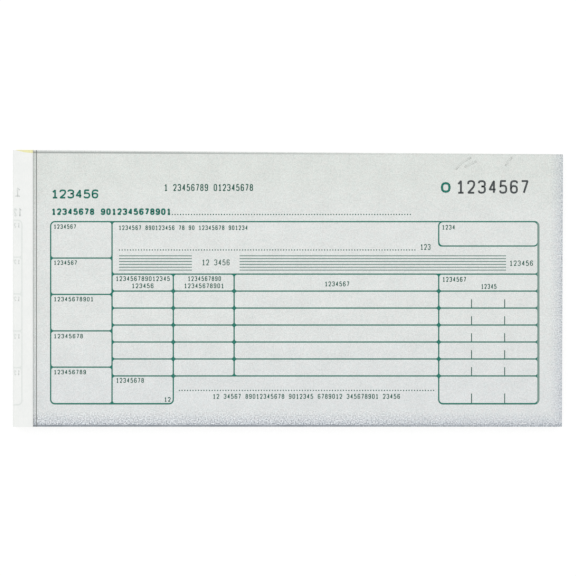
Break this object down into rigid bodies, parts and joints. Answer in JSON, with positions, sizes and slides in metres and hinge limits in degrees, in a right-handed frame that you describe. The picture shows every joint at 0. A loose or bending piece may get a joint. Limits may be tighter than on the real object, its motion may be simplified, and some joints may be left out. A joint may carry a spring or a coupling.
{
  "type": "cash receipt book",
  "caption": "Stapled book of self-copying receipt forms, its cover and first sheet turned over at the crease and round the spine, its leaves turning to the side.",
  "frame": {"origin": "middle of the face that the book rests on", "axes": "+X from the spine along the form to its right edge, +Y up the form, +Z out of the page"},
  "size_m": [0.2066, 0.104, 0.0094],
  "materials": {
    "copy_paper": "matt, uncoated, slightly green grey, with a bluish speckle of copying capsules along its edges",
    "first_sheet_paper": "matt white",
    "cover_card": "matt pale yellow card",
    "board": "matt grey board",
    "tape": "smooth gummed paper tape",
    "staple_wire": "galvanised wire"
  },
  "bodies": {
    "bound_block": {"back_board": "board", "binding_tape": "tape", "staple_1": "staple_wire", "staple_2": "staple_wire", "cover_stub": "cover_card", "first_sheet_stub": "first_sheet_paper", "second_copy_stub": "copy_paper", "third_copy_stub": "copy_paper", "later_sets_stub": "copy_paper"},
    "cover_strip": {"cover_strip": "cover_card"},
    "cover_spine": {"cover_spine": "cover_card"},
    "cover_panel": {"cover_panel": "cover_card"},
    "first_sheet_strip": {"first_sheet_strip": "first_sheet_paper"},
    "first_sheet_spine": {"first_sheet_spine": "first_sheet_paper"},
    "first_sheet_panel": {"first_sheet_panel": "first_sheet_paper"},
    "second_copy": {"second_copy": "copy_paper"},
    "third_copy": {"third_copy": "copy_paper"},
    "set_02": {"set_02": "copy_paper"},
    "set_03": {"set_03": "copy_paper"},
    "set_04": {"set_04": "copy_paper"},
    "set_05": {"set_05": "copy_paper"},
    "set_06": {"set_06": "copy_paper"},
    "set_07": {"set_07": "copy_paper"},
    "set_08": {"set_08": "copy_paper"},
    "set_09": {"set_09": "copy_paper"},
    "set_10": {"set_10": "copy_paper"},
    "set_11": {"set_11": "copy_paper"},
    "set_12": {"set_12": "copy_paper"},
    "set_13": {"set_13": "copy_paper"},
    "set_14": {"set_14": "copy_paper"},
    "set_15": {"set_15": "copy_paper"},
    "set_16": {"set_16": "copy_paper"},
    "set_17": {"set_17": "copy_paper"},
    "set_18": {"set_18": "copy_paper"},
    "set_19": {"set_19": "copy_paper"},
    "set_20": {"set_20": "copy_paper"},
    "set_21": {"set_21": "copy_paper"},
    "set_22": {"set_22": "copy_paper"},
    "set_23": {"set_23": "copy_paper"},
    "set_24": {"set_24": "copy_paper"},
    "set_25": {"set_25": "copy_paper"}
  },
  "joints": [
    {"name": "cover_crease", "type": "hinge", "parent": "bound_block", "child": "cover_strip", "pos_m": [-0.0952, 0, 0.00859], "axis": [0, -1, 0], "range_deg": [-180, 0]},
    {"name": "cover_top_corner", "type": "hinge", "parent": "cover_strip", "child": "cover_spine", "pos_m": [-0.10261, 0, 0.00868], "axis": [0, -1, 0], "range_deg": [-90, 0]},
    {"name": "cover_bottom_corner", "type": "hinge", "parent": "cover_spine", "child": "cover_panel", "pos_m": [-0.10261, 0, 0.00069], "axis": [0, -1, 0], "range_deg": [-90, 0]},
    {"name": "first_sheet_crease", "type": "hinge", "parent": "bound_block", "child": "first_sheet_strip", "pos_m": [-0.0952, 0, 0.00859], "axis": [0, -1, 0], "range_deg": [-180, 0]},
    {"name": "first_sheet_top_corner", "type": "hinge", "parent": "first_sheet_strip", "child": "first_sheet_spine", "pos_m": [-0.10261, 0, 0.00868], "axis": [0, -1, 0], "range_deg": [-90, 0]},
    {"name": "first_sheet_bottom_corner", "type": "hinge", "parent": "first_sheet_spine", "child": "first_sheet_panel", "pos_m": [-0.10261, 0, 0.00069], "axis": [0, -1, 0], "range_deg": [-90, 0]},
    {"name": "second_copy_turn", "type": "hinge", "parent": "bound_block", "child": "second_copy", "pos_m": [-0.0952, 0, 0.00859], "axis": [0, -1, 0], "range_deg": [0, 175]},
    {"name": "third_copy_turn", "type": "hinge", "parent": "bound_block", "child": "third_copy", "pos_m": [-0.0952, 0, 0.00859], "axis": [0, -1, 0], "range_deg": [0, 175]},
    {"name": "set_02_turn", "type": "hinge", "parent": "bound_block", "child": "set_02", "pos_m": [-0.0952, 0, 0.00859], "axis": [0, -1, 0], "range_deg": [0, 175]},
    {"name": "set_03_turn", "type": "hinge", "parent": "bound_block", "child": "set_03", "pos_m": [-0.0952, 0, 0.00859], "axis": [0, -1, 0], "range_deg": [0, 175]},
    {"name": "set_04_turn", "type": "hinge", "parent": "bound_block", "child": "set_04", "pos_m": [-0.0952, 0, 0.00859], "axis": [0, -1, 0], "range_deg": [0, 175]},
    {"name": "set_05_turn", "type": "hinge", "parent": "bound_block", "child": "set_05", "pos_m": [-0.0952, 0, 0.00859], "axis": [0, -1, 0], "range_deg": [0, 175]},
    {"name": "set_06_turn", "type": "hinge", "parent": "bound_block", "child": "set_06", "pos_m": [-0.0952, 0, 0.00859], "axis": [0, -1, 0], "range_deg": [0, 175]},
    {"name": "set_07_turn", "type": "hinge", "parent": "bound_block", "child": "set_07", "pos_m": [-0.0952, 0, 0.00859], "axis": [0, -1, 0], "range_deg": [0, 175]},
    {"name": "set_08_turn", "type": "hinge", "parent": "bound_block", "child": "set_08", "pos_m": [-0.0952, 0, 0.00859], "axis": [0, -1, 0], "range_deg": [0, 175]},
    {"name": "set_09_turn", "type": "hinge", "parent": "bound_block", "child": "set_09", "pos_m": [-0.0952, 0, 0.00859], "axis": [0, -1, 0], "range_deg": [0, 175]},
    {"name": "set_10_turn", "type": "hinge", "parent": "bound_block", "child": "set_10", "pos_m": [-0.0952, 0, 0.00859], "axis": [0, -1, 0], "range_deg": [0, 175]},
    {"name": "set_11_turn", "type": "hinge", "parent": "bound_block", "child": "set_11", "pos_m": [-0.0952, 0, 0.00859], "axis": [0, -1, 0], "range_deg": [0, 175]},
    {"name": "set_12_turn", "type": "hinge", "parent": "bound_block", "child": "set_12", "pos_m": [-0.0952, 0, 0.00859], "axis": [0, -1, 0], "range_deg": [0, 175]},
    {"name": "set_13_turn", "type": "hinge", "parent": "bound_block", "child": "set_13", "pos_m": [-0.0952, 0, 0.00859], "axis": [0, -1, 0], "range_deg": [0, 175]},
    {"name": "set_14_turn", "type": "hinge", "parent": "bound_block", "child": "set_14", "pos_m": [-0.0952, 0, 0.00859], "axis": [0, -1, 0], "range_deg": [0, 175]},
    {"name": "set_15_turn", "type": "hinge", "parent": "bound_block", "child": "set_15", "pos_m": [-0.0952, 0, 0.00859], "axis": [0, -1, 0], "range_deg": [0, 175]},
    {"name": "set_16_turn", "type": "hinge", "parent": "bound_block", "child": "set_16", "pos_m": [-0.0952, 0, 0.00859], "axis": [0, -1, 0], "range_deg": [0, 175]},
    {"name": "set_17_turn", "type": "hinge", "parent": "bound_block", "child": "set_17", "pos_m": [-0.0952, 0, 0.00859], "axis": [0, -1, 0], "range_deg": [0, 175]},
    {"name": "set_18_turn", "type": "hinge", "parent": "bound_block", "child": "set_18", "pos_m": [-0.0952, 0, 0.00859], "axis": [0, -1, 0], "range_deg": [0, 175]},
    {"name": "set_19_turn", "type": "hinge", "parent": "bound_block", "child": "set_19", "pos_m": [-0.0952, 0, 0.00859], "axis": [0, -1, 0], "range_deg": [0, 175]},
    {"name": "set_20_turn", "type": "hinge", "parent": "bound_block", "child": "set_20", "pos_m": [-0.0952, 0, 0.00859], "axis": [0, -1, 0], "range_deg": [0, 175]},
    {"name": "set_21_turn", "type": "hinge", "parent": "bound_block", "child": "set_21", "pos_m": [-0.0952, 0, 0.00859], "axis": [0, -1, 0], "range_deg": [0, 175]},
    {"name": "set_22_turn", "type": "hinge", "parent": "bound_block", "child": "set_22", "pos_m": [-0.0952, 0, 0.00859], "axis": [0, -1, 0], "range_deg": [0, 175]},
    {"name": "set_23_turn", "type": "hinge", "parent": "bound_block", "child": "set_23", "pos_m": [-0.0952, 0, 0.00859], "axis": [0, -1, 0], "range_deg": [0, 175]},
    {"name": "set_24_turn", "type": "hinge", "parent": "bound_block", "child": "set_24", "pos_m": [-0.0952, 0, 0.00859], "axis": [0, -1, 0], "range_deg": [0, 175]},
    {"name": "set_25_turn", "type": "hinge", "parent": "bound_block", "child": "set_25", "pos_m": [-0.0952, 0, 0.00859], "axis": [0, -1, 0], "range_deg": [0, 175]}
  ],
  "couplings": [
    {"joint": "cover_top_corner", "follows": "cover_crease", "ratio": 0.5},
    {"joint": "cover_bottom_corner", "follows": "cover_crease", "ratio": 0.5},
    {"joint": "first_sheet_crease", "follows": "cover_crease", "ratio": 1},
    {"joint": "first_sheet_top_corner", "follows": "cover_crease", "ratio": 0.5},
    {"joint": "first_sheet_bottom_corner", "follows": "cover_crease", "ratio": 0.5},
    {"joint": "third_copy_turn", "follows": "second_copy_turn", "ratio": 0.97143},
    {"joint": "set_02_turn", "follows": "second_copy_turn", "ratio": 0.95476},
    {"joint": "set_03_turn", "follows": "second_copy_turn", "ratio": 0.9381},
    {"joint": "set_04_turn", "follows": "second_copy_turn", "ratio": 0.92143},
    {"joint": "set_05_turn", "follows": "second_copy_turn", "ratio": 0.90476},
    {"joint": "set_06_turn", "follows": "second_copy_turn", "ratio": 0.8881},
    {"joint": "set_07_turn", "follows": "second_copy_turn", "ratio": 0.87143},
    {"joint": "set_08_turn", "follows": "second_copy_turn", "ratio": 0.85476},
    {"joint": "set_09_turn", "follows": "second_copy_turn", "ratio": 0.8381},
    {"joint": "set_10_turn", "follows": "second_copy_turn", "ratio": 0.82143},
    {"joint": "set_11_turn", "follows": "second_copy_turn", "ratio": 0.80476},
    {"joint": "set_12_turn", "follows": "second_copy_turn", "ratio": 0.7881},
    {"joint": "set_13_turn", "follows": "second_copy_turn", "ratio": 0.77143},
    {"joint": "set_14_turn", "follows": "second_copy_turn", "ratio": 0.75476},
    {"joint": "set_15_turn", "follows": "second_copy_turn", "ratio": 0.7381},
    {"joint": "set_16_turn", "follows": "second_copy_turn", "ratio": 0.72143},
    {"joint": "set_17_turn", "follows": "second_copy_turn", "ratio": 0.70476},
    {"joint": "set_18_turn", "follows": "second_copy_turn", "ratio": 0.6881},
    {"joint": "set_19_turn", "follows": "second_copy_turn", "ratio": 0.67143},
    {"joint": "set_20_turn", "follows": "second_copy_turn", "ratio": 0.65476},
    {"joint": "set_21_turn", "follows": "second_copy_turn", "ratio": 0.6381},
    {"joint": "set_22_turn", "follows": "second_copy_turn", "ratio": 0.62143},
    {"joint": "set_23_turn", "follows": "second_copy_turn", "ratio": 0.60476},
    {"joint": "set_24_turn", "follows": "second_copy_turn", "ratio": 0.5881},
    {"joint": "set_25_turn", "follows": "second_copy_turn", "ratio": 0.57143}
  ]
}
